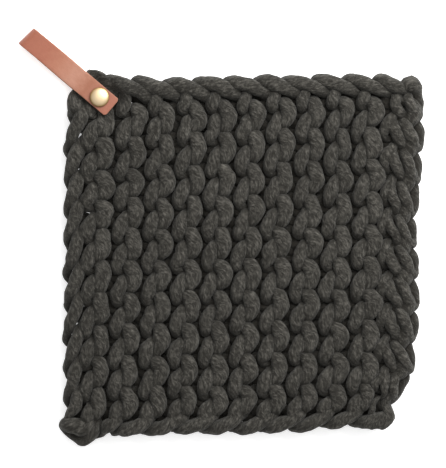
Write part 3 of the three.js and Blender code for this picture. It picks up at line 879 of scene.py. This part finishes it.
def lay_strip(strap, line, places):
    """The strip's own coordinates, and the small ways in which it isn't straight."""
    points = np.array([vertex.co[:] for vertex in strap.data.vertices]) / MM
    off_x, off_z = points[:, :1] - line[None, :, 0], points[:, 2:] - line[None, :, 1]
    length = places[np.argmin(np.hypot(off_x, off_z), 1)]
    flat = strap.data.attributes.new("strip", "FLOAT_VECTOR", "POINT")
    flat.data.foreach_set("vector", (np.stack([length, points[:, 1], 0 * length], 1) * MM).ravel())
    # The fold is askew, the strip wavers, and the lower leg lies a little to one side.
    points[:, 0] -= FOLD_SKEW * rise(points[:, 0], 18, 54) * points[:, 1]
    points[:, 1] += WAVER * np.sin(length / WAVER_LENGTH) * rise(points[:, 0], 8, 18)
    halfway = places[-1] / 2
    slack = rise(points[:, 0], 4, 18) * (1 - rise(points[:, 0], 24, 46))
    points[:, 1] += UNDER_LEG_OUT * slack * rise(length, halfway, halfway + 6)
    at_end = np.minimum(length, places[-1] - length) < 0.1
    corner = at_end & (abs(points[:, 1]) > 0.48 * STRAP_WIDTH)
    points[:, 0] += np.where(corner, TRIM, 0)
    points[:, 1] *= np.where(corner, TRIM_NARROW, 1)
    strap.data.vertices.foreach_set("co", (points * MM).ravel())
    strap.data.update()


def make_strap(face, flesh, cut):
    """A short grid extruded along the strip's line, thickened, bevelled and punched."""
    line, places = strap_line()
    half = STRAP_WIDTH / 2 * MM
    bpy.ops.object.select_all(action="DESELECT")
    bpy.ops.mesh.primitive_grid_add(x_subdivisions=1, y_subdivisions=8, size=STRAP_WIDTH * MM,
                                    location=(0, 0, 0))
    strap = bpy.context.object
    strap.name = "leather_loop"
    select_where(strap, lambda co: co.x < 0)
    bpy.ops.transform.translate(value=(line[0][0] * MM + half, 0, line[0][1] * MM))
    select_where(strap, lambda co: co.x > half * 0.9)
    bpy.ops.transform.translate(value=(line[1][0] * MM - half, 0, line[1][1] * MM))
    for here, there in zip(line[1:], line[2:]):
        step = (there - here) * MM
        bpy.ops.mesh.extrude_region_move(TRANSFORM_OT_translate={"value": (step[0], 0, step[1])})
    bpy.ops.object.mode_set(mode="OBJECT")
    lay_strip(strap, line, places)
    for material in (face, flesh, cut):
        strap.data.materials.append(material)
    apply_modifier(strap, "SOLIDIFY", thickness=LEATHER * MM, offset=0, use_even_offset=True,
                   material_offset=1, material_offset_rim=2)
    apply_modifier(strap, "BEVEL", width=BEVEL * MM, segments=3, limit_method="ANGLE",
                   angle_limit=math.radians(50))
    bpy.ops.object.select_all(action="DESELECT")
    bpy.ops.mesh.primitive_cylinder_add(vertices=32, radius=PUNCH_RADIUS * MM, depth=40 * MM)
    punch = bpy.context.object
    apply_modifier(strap, "BOOLEAN", object=punch, operation="DIFFERENCE", solver="EXACT")
    bpy.data.objects.remove(punch)
    strap.rotation_euler.z = STRAP_ANGLE
    strap.location = (RIVET_X * MM, RIVET_Y * MM, 0)
    bpy.ops.object.transform_apply(location=True, rotation=True, scale=True)
    bpy.ops.object.shade_smooth_by_angle(angle=math.radians(40))
    return strap


# ----------------------------------------------------------------------------- the rivet
# Profiles from the middle of the first disc to the last: radius, and height.
CAP = [(POST_RADIUS, 1.3), (POST_RADIUS, 13.95), (4.5, 14.12), (5.1, 14.12), (5.32, 14.2),
       (5.42, 14.42), (5.4, 14.68), (5.26, 14.92), (5.0, 15.12), (4.6, 15.42), (4.05, 15.76),
       (3.35, 16.1), (2.55, 16.39), (1.7, 16.58), (0.85, 16.69)]
BACK_CAP = [(4.0, 1.0), (4.68, 0.98), (4.86, 0.84), (4.9, 0.6), (4.88, 0.3), (4.74, 0.08),
            (4.5, 0.0), (3.5, 0.0), (3.3, 0.06), (3.1, 0.22), (2.9, 0.28), (1.0, 0.3)]


def turned(name, profile, material):
    """A round part from its profile: a disc, extruded ring by ring and drawn in or out."""
    radius, z = profile[0]
    bpy.ops.object.select_all(action="DESELECT")
    bpy.ops.mesh.primitive_circle_add(vertices=56, radius=radius * MM, fill_type="NGON",
                                      location=(RIVET_X * MM, RIVET_Y * MM, z * MM))
    part = bpy.context.object
    part.name = name
    bpy.ops.object.transform_apply(location=True, rotation=True, scale=True)
    bpy.ops.object.mode_set(mode="EDIT")
    bpy.ops.mesh.select_all(action="SELECT")
    for wide, high in profile[1:]:
        bpy.ops.mesh.extrude_region_move(TRANSFORM_OT_translate={"value": (0, 0, (high - z) * MM)})
        bpy.ops.transform.resize(value=(wide / radius, wide / radius, 1),
                                 center_override=(RIVET_X * MM, RIVET_Y * MM, high * MM))
        radius, z = wide, high
    bpy.ops.mesh.select_all(action="SELECT")
    bpy.ops.mesh.normals_make_consistent(inside=False)
    bpy.ops.object.mode_set(mode="OBJECT")
    bpy.ops.object.shade_smooth_by_angle(angle=math.radians(50))
    part.data.materials.append(material)
    return part


# ---------------------------------------------------------------------------- the pieces
yarn = yarn_finish()
for piece in knit():
    piece.data.materials.append(yarn)
    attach(piece, "root")
    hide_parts("knit_mat")

strap = make_strap(leather_finish(), leather_flesh_finish(), leather_cut_finish())
brass = brass_finish()
cap = turned("rivet_dome", CAP, brass)
back_cap = turned("rivet_back", BACK_CAP, brass)
for piece, node, slot in ((strap, "leather_strap", "strap"), (cap, "rivet_cap", "rivet"),
                          (back_cap, "rivet_back_cap", "rivet")):
    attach(piece, "root")
    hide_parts(node)
flat_length = strap_line()[1][-1]
flat_length * MM

# ------------------------------------------------------------------------ camera, light
bpy.ops.mesh.primitive_plane_add(size=12)
floor = bpy.context.object
floor.name = "floor"
floor.data.materials.append(paper_finish())

VIEW_X, VIEW_Y = 0.616, 1.4          # mm, the point under the camera
VIEW_SIZE = 262.08                   # mm of the knit's upper face, across the longer side
FACE_Z = 9
CAMERA_Z = 2400
SENSOR = 36
camera_data = bpy.data.cameras.new("camera")
camera = bpy.data.objects.new("camera", camera_data)
bpy.context.scene.collection.objects.link(camera)
camera.location = (VIEW_X * MM, VIEW_Y * MM, CAMERA_Z * MM)
camera_data.lens = SENSOR * (CAMERA_Z - FACE_Z) / VIEW_SIZE
camera_data.clip_end = 20
bpy.context.scene.camera = camera

world = bpy.data.worlds.new("world")
bpy.context.scene.world = world
world.use_nodes = True
sky = world.node_tree.nodes["Background"]
sky.inputs["Color"].default_value = (1, 1, 1, 1)
sky.inputs["Strength"].default_value = 0.42


def softbox(place, size, energy):
    """A square light of the given size, aimed at the middle of the knit."""
    bpy.ops.object.select_all(action="DESELECT")
    bpy.ops.object.light_add(type="AREA", location=place)
    light = bpy.context.object
    light.data.energy = energy
    light.data.size = size
    light.rotation_euler = (-Vector(place)).to_track_quat("-Z", "Y").to_euler()


# A broad soft ceiling, and a smaller light at the upper right that models the yarn.
softbox((0.2, 0.4, 3.0), 5.6, 54)
softbox((0.42, 0.55, 0.5), 0.8, 12.2)
bpy.context.scene.view_settings.view_transform = "Standard"
